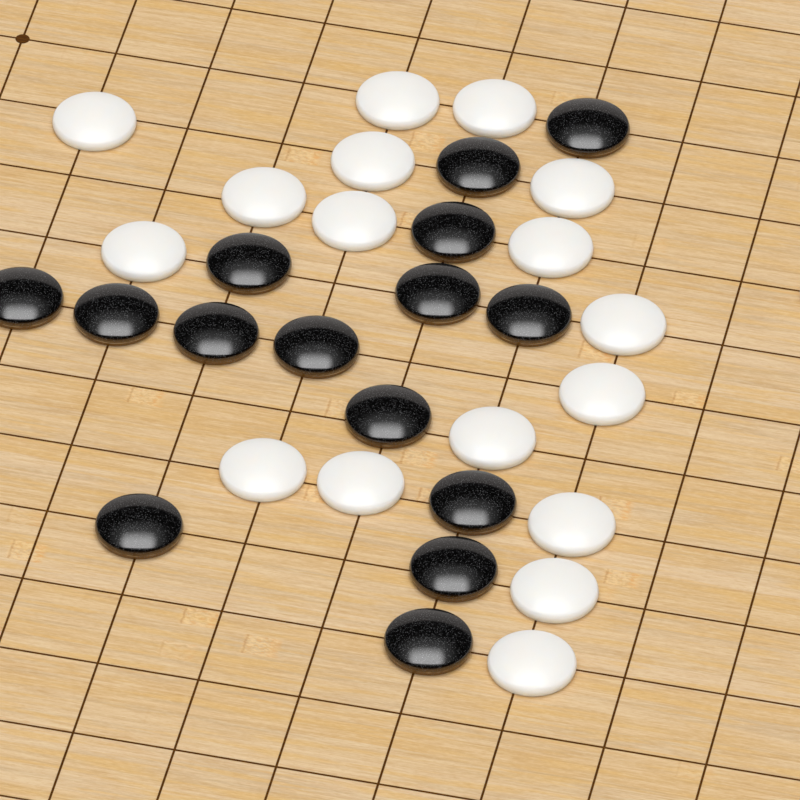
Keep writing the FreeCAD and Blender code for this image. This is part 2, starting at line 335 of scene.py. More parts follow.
# %% [markdown]
# The world adds the two, over a trace of light for the dark of the room. What the camera sees
# directly is plain white, so the background stays clean without more light on the board.

# %% World
DARK_LIGHT = 0.010


def studio_world():
    world = bpy.data.worlds.new("studio")
    world.use_nodes = True
    tree = world.node_tree
    tree.nodes.clear()
    recipe = Recipe(tree)
    ray = recipe.node("ShaderNodeTexCoord").outputs["Generated"]
    height = recipe.split(ray)[2]
    overhead = recipe.plus(softbox_light(recipe, ray, height), DARK_LIGHT)
    overhead = recipe.join(overhead, overhead, overhead)
    light = recipe.vector("ADD", overhead, wall_light(recipe, ray, height))
    seen = recipe.node("ShaderNodeLightPath").outputs["Is Camera Ray"]
    studio = recipe.node("ShaderNodeBackground", {"Color": light, "Strength": 1.0})
    white = recipe.node("ShaderNodeBackground", {"Color": (1, 1, 1, 1), "Strength": 1.0})
    shown = recipe.node("ShaderNodeMixShader", {0: seen, 1: studio.outputs[0], 2: white.outputs[0]})
    recipe.node("ShaderNodeOutputWorld", {"Surface": shown.outputs[0]})
    return world


scene.world = studio_world()
print("world:", len(scene.world.node_tree.nodes), "nodes")

# %% [markdown]
# A softbox of that size leaves the board too dark. The rest is fill, as from white cards: a wide
# one straight above, and a low one in front that lights the near sides of the stones. They are sun
# lamps with a large angle that gloss doesn't see, so the stones mirror only softbox and wall.

# %% Fills
FILLS = (                       # name, strength, height in degrees, width in degrees
    ("top_fill", 1.67, 90, 95),
    ("front_fill", 1.65, 22, 80),
)

for name, strength, height, width in FILLS:
    fill = bpy.data.objects.new(name, bpy.data.lights.new(name, "SUN"))
    fill.data.energy = strength
    fill.data.angle = math.radians(width)
    fill.visible_glossy = False
    towards = direction(CAMERA_AZIMUTH, math.radians(height))
    fill.rotation_euler = towards.to_track_quat("Z", "Y").to_euler()
    scene.collection.objects.link(fill)
    print(name, "from", height, "degrees up, strength", strength)

# %% [markdown]
# ## Floor
#
# A pale table top, large enough to reach past any picture's edge. It isn't part of the board.

# %% Floor
FLOOR_HALF = 20.0
FLOOR_DARK = (0.80, 0.80, 0.80, 1)
FLOOR_PALE = (0.84, 0.84, 0.84, 1)


def mesh_piece(name, vertices, faces, smooth=True):
    """A mesh object from corner points and faces."""
    mesh = bpy.data.meshes.new(name)
    mesh.from_pydata([tuple(vertex) for vertex in vertices], [], [tuple(face) for face in faces])
    mesh.validate()
    if smooth:
        mesh.shade_smooth()
    piece = bpy.data.objects.new(name, mesh)
    scene.collection.objects.link(piece)
    return piece


def floor():
    corners = [(-1, -1), (1, -1), (1, 1), (-1, 1)]
    vertices = [(x * FLOOR_HALF, y * FLOOR_HALF, 0) for x, y in corners]
    piece = mesh_piece("table_top", vertices, [(0, 1, 2, 3)], smooth=False)
    material, recipe, shader = new_material("table_top")
    tint = recipe.mix(recipe.noise(recipe.place(), 3.0, 3.0), FLOOR_DARK, FLOOR_PALE)
    recipe.fill(shader.inputs, {"Base Color": tint, "Roughness": 0.9})
    piece.data.materials.append(material)


floor()
print("table top", 2 * FLOOR_HALF, "m across")

# %% [markdown]
# ## Bamboo
#
# The board is side-pressed bamboo: strips of 5 to 7 mm stand on edge and are glued face to face, so
# the top shows their narrow sides. Three things make it read as bamboo and not as wood:
#
# - each strip has a tone of its own, and its fibres are denser and warmer towards the skin side;
# - the fibres are dead straight, because bamboo has no rays and no rings;
# - every strip crosses the cane's joints now and then. A joint leaves a thin brown scar, a paler
#   swirl of about 7 mm and an orange smear after it.
#
# An image would be quick but would repeat and have no depth. A node group that works on a point's
# place along the grain, across the strips and through the thickness gives one bamboo for every
# piece, whichever way its grain runs. The places of the joints that matter are listed, one for a
# strip, and the others fall at random.

# %% Strips and their joints
STRIP_WIDTH = 6.0               # mm, on average
STRIP_SWAY = (                  # uneven widths, as two waves: size, radians per mm, start
    (0.06, 0.37, 0.0),
    (0.10, 0.11, 1.3),
)
JOINT_SPACING = 290.0           # mm between the cane's joints
JOINT_LENGTH = 7.0
STRIP_SPAN = 96                 # strips that the table of joints covers
BOARD_JOINTS = (                # mm to the right of and away from the board's middle
    (-39.6, 28.6), (-86.6, 20.6), (-56.4, -50.9), (-40.3, -56.9), (-69.8, 114.0), (-41.3, 131.8),
    (-37.0, 100.6), (15.1, 61.0), (40.3, 50.2), (-18.5, 15.6), (-11.8, 4.6), (-37.9, -3.8),
    (37.0, -16.3), (69.1, 35.0), (-101.0, -37.4), (30.2, 10.6),
)


def strip_number(across):
    """Which strip of the board a place across it is in: the same sum as in the node group."""
    sway = sum(size * math.sin(across * rate + start) for size, rate, start in STRIP_SWAY)
    return math.floor(across / STRIP_WIDTH + sway)


def joint_stops(joints):
    """Colour stops, by strip: red is the joint's place along the grain, blue 1 where it is set."""
    chosen = {strip_number(away): right for right, away in joints}
    stops = [(0.0, (0, 0, 0, 1))]
    for strip in sorted(chosen):
        start = (strip + STRIP_SPAN / 2) / STRIP_SPAN
        place = (chosen[strip] + JOINT_SPACING / 2) / JOINT_SPACING
        stops.append((start, (place, 0, 1, 1)))
        if strip + 1 not in chosen:
            stops.append((start + 1 / STRIP_SPAN, (0, 0, 0, 1)))
    return stops


print("joints set by hand:", len(BOARD_JOINTS), "stops:", len(joint_stops(BOARD_JOINTS)))

# %% [markdown]
# The group works in millimetres. Its `Place` runs along the grain, across the strips and through
# the thickness. It is a long one, so it is built by a few helpers, one for each thing that a
# bamboo worker would point at.
#
# The strips come first. A white noise turns a strip's number into three chances that are the same
# all over the strip: they draw the way that it is turned, its joint and its tone.

# %% Strips in the group
SEED_STEP = 17.31               # apart from any whole number of strips


def strip_lane(recipe, place, strip_width, seed):
    """A strip's number, how far across it a point is, and three chances drawn for the strip."""
    across = recipe.split(place)[1]
    lane = recipe.math("DIVIDE", across, strip_width)
    for size, rate, start in STRIP_SWAY:
        angle = recipe.plus(recipe.times(across, rate), start)
        lane = recipe.plus(lane, recipe.times(recipe.math("SINE", angle), size))
    strip = recipe.math("FLOOR", lane)
    lot = recipe.plus(strip, recipe.times(seed, SEED_STEP))
    drawn = recipe.node("ShaderNodeTexWhiteNoise", {"W": lot}, noise_dimensions="1D")
    return strip, recipe.math("FRACT", lane), recipe.parts(drawn.outputs["Color"])


print("the middle of the board is in strip", strip_number(0.0))

# %% [markdown]
# A strip's joint lies where the table of stops has it, if it is listed, or anywhere. Its line
# ripples a little. Listed joints are strong, and most of the others are weak.

# %% Joints in the group
RIPPLE_GRAIN = (0.2, 0.7, 0.4)          # turns to a mm, along, across and through the strip
RIPPLE = 0.9                            # mm


def cane_joint(recipe, place, strip, chance, by_hand):
    """How far past the strip's joint a point is, in mm, the joint's strength and its swirl."""
    lookup = recipe.plus(recipe.math("DIVIDE", strip, STRIP_SPAN), 0.5 + 0.5 / STRIP_SPAN)
    table = recipe.parts(recipe.ramp(lookup, joint_stops(BOARD_JOINTS), "CONSTANT"))
    by_hand = recipe.times(table[2], by_hand)
    start = recipe.between(by_hand, chance[1], table[0])
    turn = recipe.minus(recipe.math("DIVIDE", recipe.split(place)[0], JOINT_SPACING), start)
    past = recipe.minus(recipe.math("FRACT", recipe.plus(turn, 1.0)), 0.5)
    ripple = recipe.minus(recipe.drawn_out(place, RIPPLE_GRAIN, 3.0), 0.5)
    past = recipe.plus(recipe.times(past, JOINT_SPACING), recipe.times(ripple, RIPPLE))
    strength = recipe.times(recipe.math("POWER", chance[2], 2.0), 0.7)
    strength = recipe.math("MAXIMUM", strength, by_hand)
    swirl = recipe.ease(past, -1.5, 0.5)
    swirl = recipe.times(swirl, recipe.ease(past, JOINT_LENGTH + 2, JOINT_LENGTH - 1))
    return past, strength, recipe.times(swirl, strength)


print("a joint is", JOINT_LENGTH, "mm long, one to", JOINT_SPACING, "mm of cane")

# %% [markdown]
# The fibres run dead straight, but they bend where the joint swirls. Noises that are drawn out
# along the grain lay them down from the coarsest to the finest: grey clouds, golden and creamy
# stretches, streaks, threads and flecks. The dark streaks are denser towards the skin side. One
# layer of colour follows another, from the strip's own tone to the single threads.

# %% Fibres in the group
TAN = srgb(222, 192, 153)
STRAW = srgb(217, 184, 138)
HONEY = srgb(214, 174, 116)
GOLD = srgb(222, 180, 110)
CREAM = srgb(231, 203, 160)
FIBRE_DARK = srgb(198, 152, 92)
FIBRE_PALE = srgb(232, 208, 166)
GREY_BLOOM = srgb(203, 172, 133)
BEND_GRAIN = (0.35, 0.5, 0.5)
BEND = 5.0                              # mm
SHIFT_SPAN = 400.0                      # mm by which strips may lie shifted along the grain
CLOUD_GRAIN = (0.015, 0.22, 0.22)
GOLD_GRAIN = (0.03, 0.42, 0.4)
STREAK_GRAIN = (0.065, 1.2, 1.2)
FLECK_GRAIN = (0.55, 2.4, 2.4)
THREAD_GRAIN = (0.20, 3.6, 3.6)


def bent_fibres(recipe, place, swirl, shift):
    """A point's place among the fibres of its strip."""
    along, across, depth = recipe.split(place)
    bend = recipe.minus(recipe.drawn_out(place, BEND_GRAIN, 1.0), 0.5)
    bend = recipe.times(recipe.times(bend, BEND), swirl)
    shifted = recipe.plus(along, recipe.times(shift, SHIFT_SPAN))
    return recipe.join(shifted, recipe.plus(across, bend), depth)


def fibre_tone(recipe, fibre, chance, skin):
    """The colour, and the streaks and threads that also show in the relief."""
    cloud = recipe.drawn_out(fibre, CLOUD_GRAIN)
    golden = recipe.drawn_out(fibre, GOLD_GRAIN)
    streak = recipe.drawn_out(fibre, STREAK_GRAIN, 3.0, 0.62)
    fleck = recipe.drawn_out(fibre, FLECK_GRAIN, 2.0, 0.6)
    thread = recipe.drawn_out(fibre, THREAD_GRAIN, 3.0, 0.7)
    dense = recipe.plus(0.20, recipe.times(skin, 0.45))
    layers = [
        (recipe.ease(cloud, 0.45, 0.68, 0.0, 0.85), GREY_BLOOM),
        (recipe.times(recipe.ease(streak, 0.46, 0.70), dense), FIBRE_DARK),
        (recipe.ease(streak, 0.52, 0.32, 0.0, 0.45), FIBRE_PALE),
        (recipe.ease(golden, 0.48, 0.66, 0.0, 0.70), GOLD),
        (recipe.ease(golden, 0.49, 0.33, 0.0, 0.45), CREAM),
        (recipe.ease(thread, 0.50, 0.72, 0.0, 0.50), FIBRE_DARK),
        (recipe.ease(thread, 0.50, 0.28, 0.0, 0.48), FIBRE_PALE),
        (recipe.ease(fleck, 0.50, 0.72, 0.0, 0.28), FIBRE_DARK),
        (recipe.ease(fleck, 0.50, 0.28, 0.0, 0.28), FIBRE_PALE),
    ]
    own_tone = recipe.ramp(chance, [(0.0, TAN), (0.45, STRAW), (1.0, HONEY)])
    return recipe.layers(own_tone, layers), streak, thread


print("the finest threads are about", round(1 / THREAD_GRAIN[1], 2), "mm wide")

# %% [markdown]
# Over the fibres lie the marks of the joint: the pale swirl, the smear at its end, orange curls in
# the swirl and the scar. All are broken up by the same curly noise.

# %% Joint marks in the group
JOINT_BLUSH = srgb(226, 168, 96)
JOINT_SWIRL = srgb(236, 202, 146)
JOINT_SCAR = srgb(190, 134, 72)
CURL_GRAIN = (0.55, 1.5, 1.0)
SCAR_WIDTH = (0.50, 0.05)               # mm from its middle, from nothing to full
SMEAR_WIDTH = (1.9, 0.1)


def joint_marks(recipe, place, past, strength, swirl):
    """Layers of colour."""
    curls = recipe.drawn_out(place, CURL_GRAIN, 3.0, 0.6)
    end_gap = recipe.math("ABSOLUTE", recipe.minus(past, JOINT_LENGTH))
    smear = recipe.times(recipe.ease(end_gap, *SMEAR_WIDTH), strength)
    scar = recipe.times(recipe.ease(recipe.math("ABSOLUTE", past), *SCAR_WIDTH), strength)
    return [
        (recipe.times(swirl, recipe.ease(curls, 0.56, 0.40, 0.05, 0.75)), JOINT_SWIRL),
        (recipe.times(smear, recipe.ease(curls, 0.40, 0.62, 0.07, 0.70)), JOINT_BLUSH),
        (recipe.times(swirl, recipe.ease(curls, 0.52, 0.64, 0.00, 0.60)), JOINT_BLUSH),
        (recipe.times(scar, recipe.ease(curls, 0.30, 0.60, 0.27, 0.60)), JOINT_SCAR),
    ]


print("a scar is", 2 * SCAR_WIDTH[0], "mm wide at most")

# %% [markdown]
# Where a strip is cut across, its bundles of fibres show as dark dots, closer together on the skin
# side. `Facing` is the surface normal in the order of `Place`, which tells the end grain from the
# long faces. A fine line of glue between two strips is twice as strong there.
#
# The group puts all of this together. Half of the strips are turned round, so that skin meets
# skin in places. It gives a colour, a roughness and a height for a Bump node.

# %% Bamboo group
END_PALE = srgb(206, 172, 122)
END_DARK = srgb(122, 84, 48)
BUNDLE_SPACING = 1.7                    # bundles of fibres to a millimetre of end grain
GLUE_WIDTH = 0.05                       # share of a strip


def end_grain(recipe, place, skin):
    across, depth = list(recipe.split(place))[1:]
    cut = recipe.join(0.0, across, depth)
    inputs = {"Vector": cut, "Scale": BUNDLE_SPACING, "Randomness": 0.9}
    cells = recipe.node("ShaderNodeTexVoronoi", inputs).outputs["Distance"]
    reach = recipe.plus(0.2, recipe.times(skin, 0.22))
    dots = recipe.ease(recipe.minus(cells, reach), 0.08, -0.08, 0.0, 0.75)
    return recipe.mix(dots, END_PALE, END_DARK)


def bamboo_group():
    recipe, given, result = new_group(
        "bamboo_strips",
        [
            ("Place", "NodeSocketVector", None),
            ("Facing", "NodeSocketVector", None),
            ("Strip Width", "NodeSocketFloat", STRIP_WIDTH),
            ("Joints by Hand", "NodeSocketFloat", 0.0),
            ("Seed", "NodeSocketFloat", 0.0),
        ],
        [
            ("Color", "NodeSocketColor"),
            ("Roughness", "NodeSocketFloat"),
            ("Height", "NodeSocketFloat"),
        ],
    )
    inputs = {0: given["Place"], "Scale": 1 / MM}
    place = recipe.node("ShaderNodeVectorMath", inputs, operation="SCALE").outputs[0]
    strip, inside, chance = strip_lane(recipe, place, given["Strip Width"], given["Seed"])
    joint = cane_joint(recipe, place, strip, chance, given["Joints by Hand"])
    turned_round = recipe.math("GREATER_THAN", chance[0], 0.5)
    skin = recipe.between(turned_round, inside, recipe.minus(1.0, inside))
    skin = recipe.ease(skin, 0.25, 1.0)
    fibre = bent_fibres(recipe, place, joint[2], chance[1])
    tone, streak, thread = fibre_tone(recipe, fibre, chance[2], skin)
    facing_end = recipe.math("ABSOLUTE", recipe.split(given["Facing"])[0])
    facing_end = recipe.ease(facing_end, 0.5, 0.8)
    glue = recipe.ease(inside, GLUE_WIDTH, 0.0, 0.0, 0.16)
    glue = recipe.times(glue, recipe.plus(1.0, facing_end))
    tone = recipe.layers(tone, joint_marks(recipe, place, *joint))
    tone = recipe.layers(
        tone, [(facing_end, end_grain(recipe, place, skin)), (glue, JOINT_SCAR)]
    )
    rough = recipe.plus(0.36, recipe.times(streak, 0.12))
    rough = recipe.plus(rough, recipe.times(facing_end, 0.2))
    height = recipe.between(0.4, streak, thread)
    recipe.fill(result, {"Color": tone, "Roughness": rough, "Height": height})
    return recipe.tree


bamboo_strips = bamboo_group()
print("bamboo group:", len(bamboo_strips.nodes), "nodes")

# %% [markdown]
# ## Handling marks
#
# Lacquered bamboo, polished stones and rubber feet all pick up the same thing: faint smudges where
# hands touch them, which show in the gloss and hardly in the colour. One group makes them for
# every finish, at its own size.

# %% Smudge group
def smudge_group():
    recipe, given, result = new_group(
        "handling_smudges",
        [
            ("Place", "NodeSocketVector", None),
            ("Size", "NodeSocketFloat", 20.0),
            ("Roughness", "NodeSocketFloat", 0.4),
            ("Amount", "NodeSocketFloat", 0.06),
        ],
        [("Roughness", "NodeSocketFloat"), ("Mask", "NodeSocketFloat")],
    )
    scale = recipe.math("DIVIDE", 1 / MM, given["Size"])
    mask = recipe.ease(recipe.noise(given["Place"], scale, 3.0, 0.6), 0.42, 0.68)
    change = recipe.times(mask, given["Amount"])
    rough = recipe.plus(given["Roughness"], change)
    recipe.fill(result, {"Roughness": rough, "Mask": mask})
    return recipe.tree


handling_smudges = smudge_group()
print("smudge group:", len(handling_smudges.nodes), "nodes")

# %% [markdown]
# ## One bamboo finish for each way the grain runs
#
# A carpenter runs the grain along the length of every part. The finish therefore asks which axis
# lies along the grain, which across the strips and which through the thickness, and sorts the
# point's place and its normal in that order before the group sees them.

# %% Bamboo finishes
PANEL_STRIP_WIDTH = 18.0        # mm: the thin panels are made of flat-laid strips
FIBRE_RELIEF = 0.03 * MM
WALL_SHADE = (1.0, 0.98, 0.95, 1)


def bamboo_finish(name, grain, seed, strip_width=STRIP_WIDTH, by_hand=0.0, shade=None):
    """grain is the axes along, across and through, such as "XYZ"."""
    material, recipe, shader = new_material(name)
    coordinates = recipe.node("ShaderNodeTexCoord").outputs
    place = recipe.split(coordinates["Object"])
    facing = recipe.split(coordinates["Normal"])
    order = ["XYZ".index(axis) for axis in grain]
    inputs = {
        "Place": recipe.join(*[place[axis] for axis in order]),
        "Facing": recipe.join(*[facing[axis] for axis in order]),
        "Strip Width": strip_width,
        "Joints by Hand": by_hand,
        "Seed": seed,
    }
    bamboo = recipe.group(bamboo_strips, inputs)
    inputs = {"Place": coordinates["Object"], "Roughness": bamboo["Roughness"]}
    smudge = recipe.group(handling_smudges, inputs)
    colour = bamboo["Color"]
    if shade:
        colour = recipe.mix(1.0, colour, shade, "MULTIPLY")
    normal = recipe.bump(bamboo["Height"], 0.35, FIBRE_RELIEF)
    looks = {"Base Color": colour, "Roughness": smudge["Roughness"], "Normal": normal}
    recipe.fill(shader.inputs, looks)
    return material


def paint(material, *nodes):
    """Gives a finish to solids of the frame."""
    for node in nodes:
        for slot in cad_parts[node].material_slots:
            slot.material = material


paint(bamboo_finish("board_bamboo", "XYZ", 0.0, by_hand=1.0), "playing_board")
paint(bamboo_finish("side_bamboo", "YZX", 1.0), "left_side", "right_side")
paint(bamboo_finish("cross_bamboo", "XZY", 2.0), "centre_divider")
paint(bamboo_finish("rail_bamboo", "XYZ", 3.0), "front_stop_rail", "back_stop_rail")
paint(bamboo_finish("runner_bamboo", "YXZ", 4.0), "front_runners", "back_runners")
paint(bamboo_finish("base_bamboo", "XYZ", 5.0, PANEL_STRIP_WIDTH), "base_panel")
for end, seed in (("front", 6.0), ("back", 7.0)):
    face = bamboo_finish(end + "_face_bamboo", "XZY", seed)
    paint(face, end + "_drawer_face")
    cross = bamboo_finish(end + "_cross_wall_bamboo", "XZY", seed + 0.3, shade=WALL_SHADE)
    paint(cross, end + "_box_front", end + "_box_back")
    long = bamboo_finish(end + "_long_wall_bamboo", "YZX", seed + 0.6, shade=WALL_SHADE)
    paint(long, end + "_box_left", end + "_box_right")
    bottom = bamboo_finish(end + "_bottom_bamboo", "XYZ", seed + 0.8, PANEL_STRIP_WIDTH)
    paint(bottom, end + "_box_bottom")
print("bamboo finishes:", handling_smudges.users, "so far")

# %% [markdown]
# ## Printed lines
#
# The lines are dark brown ink, laid thin. The ink has soaked in a little more along some fibres
# than along others. A noise drawn out along the grain thins the brown towards the wood's own colour.

# %% Ink
INK_DARK = srgb(74, 40, 6)
INK_THIN = srgb(116, 74, 20)
INK_GRAIN = (400.0, 2600.0, 0.0)        # turns to a metre, along and across the fibres


def ink_finish():
    material, recipe, shader = new_material("ink")
    soaked = recipe.drawn_out(recipe.place(), INK_GRAIN, 3.0, 0.6)
    tone = recipe.mix(recipe.ease(soaked, 0.40, 0.75, 0.0, 0.8), INK_DARK, INK_THIN)
    rough = recipe.ease(soaked, 0.3, 0.7, 0.55, 0.75)
    looks = {"Base Color": tone, "Roughness": rough, "Specular IOR Level": 0.1}
    recipe.fill(shader.inputs, looks)
    return material


paint(ink_finish(), "grid_lines")
print("ink on", len(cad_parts["grid_lines"].data.polygons), "faces of the grid")

# %% [markdown]
# ## Stones
#
# A stone is flat underneath and domed on top. It is cast in two halves, so a fine seam runs round
# the rim where it is widest. Its outline is drawn as four stretches: the rounded foot is a quarter
# of an ellipse, the seam is a ridge of less than a tenth of a millimetre, the shoulder is part of
# another ellipse, and the dome is part of a circle that leaves the shoulder at the same slope.
# Turning the outline gives the stone. A Screw modifier would do as well, but the same few lines of
# code also turn the knobs, feet and screws, and give exact control of the rings.

# %% Turning an outline
NOTHING = 1e-9                   # smaller than any length, area or sine that counts


def arc(centre, sizes, start, end, steps):
    """Points on an ellipse, from one angle to another in degrees, both ends included."""
    points = []
    for step in range(steps + 1):
        angle = math.radians(start + (end - start) * step / steps)
        x = centre[0] + sizes[0] * math.cos(angle)
        points.append((x, centre[1] + sizes[1] * math.sin(angle)))
    return points


def join_rings(rings):
    """Closes the gaps between rings of points. A ring of one point closes the form."""
    vertices = []
    numbers = []
    for ring in rings:
        numbers.append(range(len(vertices), len(vertices) + len(ring)))
        vertices += ring
    segments = max(len(ring) for ring in rings)
    faces = []
    for low, high in zip(numbers, numbers[1:]):
        for index in range(segments):
            after = (index + 1) % segments
            if len(low) == 1:
                faces.append((low[0], high[after], high[index]))
            elif len(high) == 1:
                faces.append((low[index], low[after], high[0]))
            else:
                faces.append((low[index], low[after], high[after], high[index]))
    return np.array(vertices), faces


def ring_at(radius, height, segments):
    """A circle of points, or one point where the radius is nothing."""
    if radius < NOTHING:
        return [(0.0, 0.0, height)]
    angles = [index * math.tau / segments for index in range(segments)]
    return [(radius * math.cos(angle), radius * math.sin(angle), height) for angle in angles]


def turned(outline, segments):
    """Turns (radius, height) points about Z. Ends on the axis close the form."""
    return join_rings([ring_at(radius, height, segments) for radius, height in outline])


def copies(form, matrices):
    """One mesh's worth of copies of a turned form, each put in place by a matrix."""
    vertices, faces = form
    all_vertices = []
    all_faces = []
    for number, matrix in enumerate(matrices):
        placed = vertices @ np.array(matrix.to_3x3()).T + np.array(matrix.translation)
        all_vertices.append(placed)
        first = number * len(vertices)
        all_faces += [tuple(first + corner for corner in face) for face in faces]
    return np.concatenate(all_vertices), all_faces


drum = [(0, 0), (1, 0), (1, 1), (0, 1)]
print("a drum of 12 segments has", len(turned(drum, 12)[1]), "faces")

# %% [markdown]
# The height of a stone comes from the frame. White stones are more softly rounded above the seam
# than black ones. What the shoulder and the dome leave of the height lies below the seam. The
# middle of each stone is the middle of the flat crown that its solid has, so a stone that is moved
# in the frame moves here too.

# %% Stone form
STONE_RADIUS = 10.45 * MM
SEAM_RIDGE = 0.06 * MM
FOOT_ROUND = 0.32 * MM
SHOULDER_ACROSS = {"white": 0.80 * MM, "black": 0.68 * MM}
SHOULDER_UPWARD = 1.32 * MM
SHOULDER_START = 4               # degrees: the rim leans in a little right above the seam
DOME_SLOPE = 22.0                # degrees, where the dome meets the shoulder
CROWN_REACH = 7.0 * MM           # wider than a crown, narrower than the gap to the next one
LEVEL = 1e-6                     # corners this close in height lie in one plane
STONE_SEGMENTS = 72


def stone_height(node):
    low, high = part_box(node)
    return high.z - low.z


def stone_outline(colour, fineness):
    """From the middle of the underside to the top of the dome."""
    height = stone_height(colour + "_stones")
    rim = STONE_RADIUS - SEAM_RIDGE
    across = SHOULDER_ACROSS[colour]
    slope = math.radians(DOME_SLOPE)
    end = math.degrees(math.atan2(SHOULDER_UPWARD, across * math.tan(slope)))
    sizes = (across, SHOULDER_UPWARD)
    shoulder = arc((rim - across, 0), sizes, SHOULDER_START, end, 4 * fineness)
    radius = shoulder[-1][0] / math.sin(slope)
    middle = (0, shoulder[-1][1] - radius * math.cos(slope))
    dome = arc(middle, (radius, radius), 90 - DOME_SLOPE, 90, 5 * fineness)
    seam = height - dome[-1][1]
    foot = arc((rim - FOOT_ROUND, 0), (FOOT_ROUND, seam), -90, 0, 3 * fineness)
    ridge = [(rim, -SEAM_RIDGE), (STONE_RADIUS, 0), (rim, SEAM_RIDGE)]
    upper = foot[:-1] + ridge + shoulder + dome[1:-1]
    return [(0, 0)] + [(x, z + seam) for x, z in upper] + [(0, height)]


def stone_places(node):
    """A matrix for every stone in a node of the frame, turned at random about its own axis."""
    low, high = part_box(node)
    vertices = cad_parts[node].data.vertices
    corners = {tuple(vertex.co) for vertex in vertices if vertex.co.z > high.z - LEVEL}
    matrices = []
    while corners:
        first = min(corners)
        crown = {corner for corner in corners if math.dist(corner, first) < CROWN_REACH}
        corners -= crown
        middle = sum((Vector(corner) for corner in crown), Vector()) / len(crown)
        spin = Matrix.Rotation(random.uniform(0, math.tau), 4, "Z")
        matrices.append(Matrix.Translation((middle.x, middle.y, low.z)) @ spin)
    return matrices


random.seed(361)
stones_in_play = {}
for colour in ("white", "black"):
    node = colour + "_stones"
    form = turned(stone_outline(colour, 3), STONE_SEGMENTS)
    stones_in_play[colour] = copies(form, stone_places(node))
    print(colour, "stones are", round(stone_height(node) / MM, 2), "mm thick")

# %% [markdown]
# ## Finish of the stones
#
# Both are cast glass with a polished skin. The white ones are milky: almost all the light comes
# back from just below the surface, and the softbox lies on them as a clean highlight. The black
# ones have a scatter of tiny flakes under the polish. They show as fine dust on the dark of the
# dome and drown in the highlight. A noise would give clouds. Here a Voronoi texture makes one
# round cell for each flake, and a second draw by lot leaves many cells dark and a few bright.

# %% Flake group
def flake_group():
    recipe, given, result = new_group(
        "dust_of_flakes",
        [
            ("Place", "NodeSocketVector", None),
            ("Size", "NodeSocketFloat", 0.3),
            ("Share", "NodeSocketFloat", 0.5),
        ],
        [("Mask", "NodeSocketFloat")],
    )
    scale = recipe.math("DIVIDE", 1 / MM, given["Size"])
    inputs = {"Vector": given["Place"], "Scale": scale}
    cells = recipe.node("ShaderNodeTexVoronoi", inputs).outputs
    inputs = {"Vector": cells["Position"]}
    lot = recipe.node("ShaderNodeTexWhiteNoise", inputs, noise_dimensions="3D").outputs["Value"]
    dark = recipe.minus(1.0, given["Share"])
    bright = recipe.math("DIVIDE", recipe.minus(lot, dark), given["Share"])
    bright = recipe.math("POWER", recipe.math("MAXIMUM", bright, 0.0), 2.0)
    spot = recipe.ease(cells["Distance"], 0.52, 0.30)
    recipe.fill(result, {"Mask": recipe.times(spot, bright)})
    return recipe.tree


dust_of_flakes = flake_group()
print("flake group:", len(dust_of_flakes.nodes), "nodes")

# %% [markdown]
# White glass gets Blender's subsurface scattering with a reach of a few millimetres, which
# softens its shadows and lets the near wall glow. Where it faces down to the bamboo, a warm tint
# is painted in as light bounced up from the bamboo. That is masked by how far the surface leans:
# the upward part of its normal is 1 on the crown, 0 at the seam and less than 0 below it.

# %% White stone finish
WHITE_DARK = srgb(247, 240, 234)
WHITE_PALE = srgb(250, 244, 239)
# painted warm light, bounced up from the bamboo onto the lower rim
WHITE_BOUNCE_LIGHT = srgb(255, 239, 216)
WHITE_LEANING = (0.4, -0.6)      # upward parts of the normal, from nothing to full
SCATTER_REACH = 3.8 * MM


def upward_part(recipe):
    """Of the surface's normal."""
    return recipe.split(recipe.node("ShaderNodeNewGeometry").outputs["Normal"])[2]


def white_stone_finish():
    material, recipe, shader = new_material("white_stone")
    place = recipe.place()
    tone = recipe.mix(recipe.noise(place, 90.0, 3.0, 0.5), WHITE_DARK, WHITE_PALE)
    # painted bounce light: warmer where the surface faces down to the bamboo
    tone = recipe.mix(recipe.ease(upward_part(recipe), *WHITE_LEANING), tone, WHITE_BOUNCE_LIGHT)
    inputs = {"Place": place, "Size": 9.0, "Roughness": 0.13, "Amount": 0.04}
    smudge = recipe.group(handling_smudges, inputs)
    looks = {
        "Base Color": tone,
        "Roughness": smudge["Roughness"],
        "Subsurface Weight": 1.0,
        "Subsurface Radius": (1.0, 0.9, 0.8),
        "Subsurface Scale": SCATTER_REACH,
        "Specular IOR Level": 0.4,
    }
    recipe.fill(shader.inputs, looks)
    return material


white_stone = white_stone_finish()
print(white_stone.name, "scatters over", round(SCATTER_REACH / MM, 1), "mm")

# %% [markdown]
# Black glass is almost black inside, under a clear coat that makes the sharp reflections. Round the
# foot, a brown is painted in as the bamboo's reflection, and a pale highlight is painted along
# the moulding seam, broken up in places. The same upward part of the normal masks the painted
# reflection, the painted highlight and the flakes.

# %% Black stone finish
BLACK_DARK = srgb(2, 2, 2)
BLACK_PALE = srgb(5, 4, 4)
# painted reflection of the bamboo on the foot
FOOT_BAMBOO_REFLECTION = (0.160, 0.069, 0.008, 1)
FOOT_LEANING = (0.65, -0.55)
FLAKE_GREY = (0.118, 0.118, 0.122, 1)
FLAKE_SIZE = 0.25                # mm
FLAKE_SHARE = 0.70               # of all cells
FLAKE_LEANING = (0.93, 0.985, 0.72, 1.0)    # fewer show towards the rim
# painted highlight along the moulding seam
SEAM_HIGHLIGHT = srgb(196, 172, 128)
SEAM_LEANING = (0.09, 0.03)


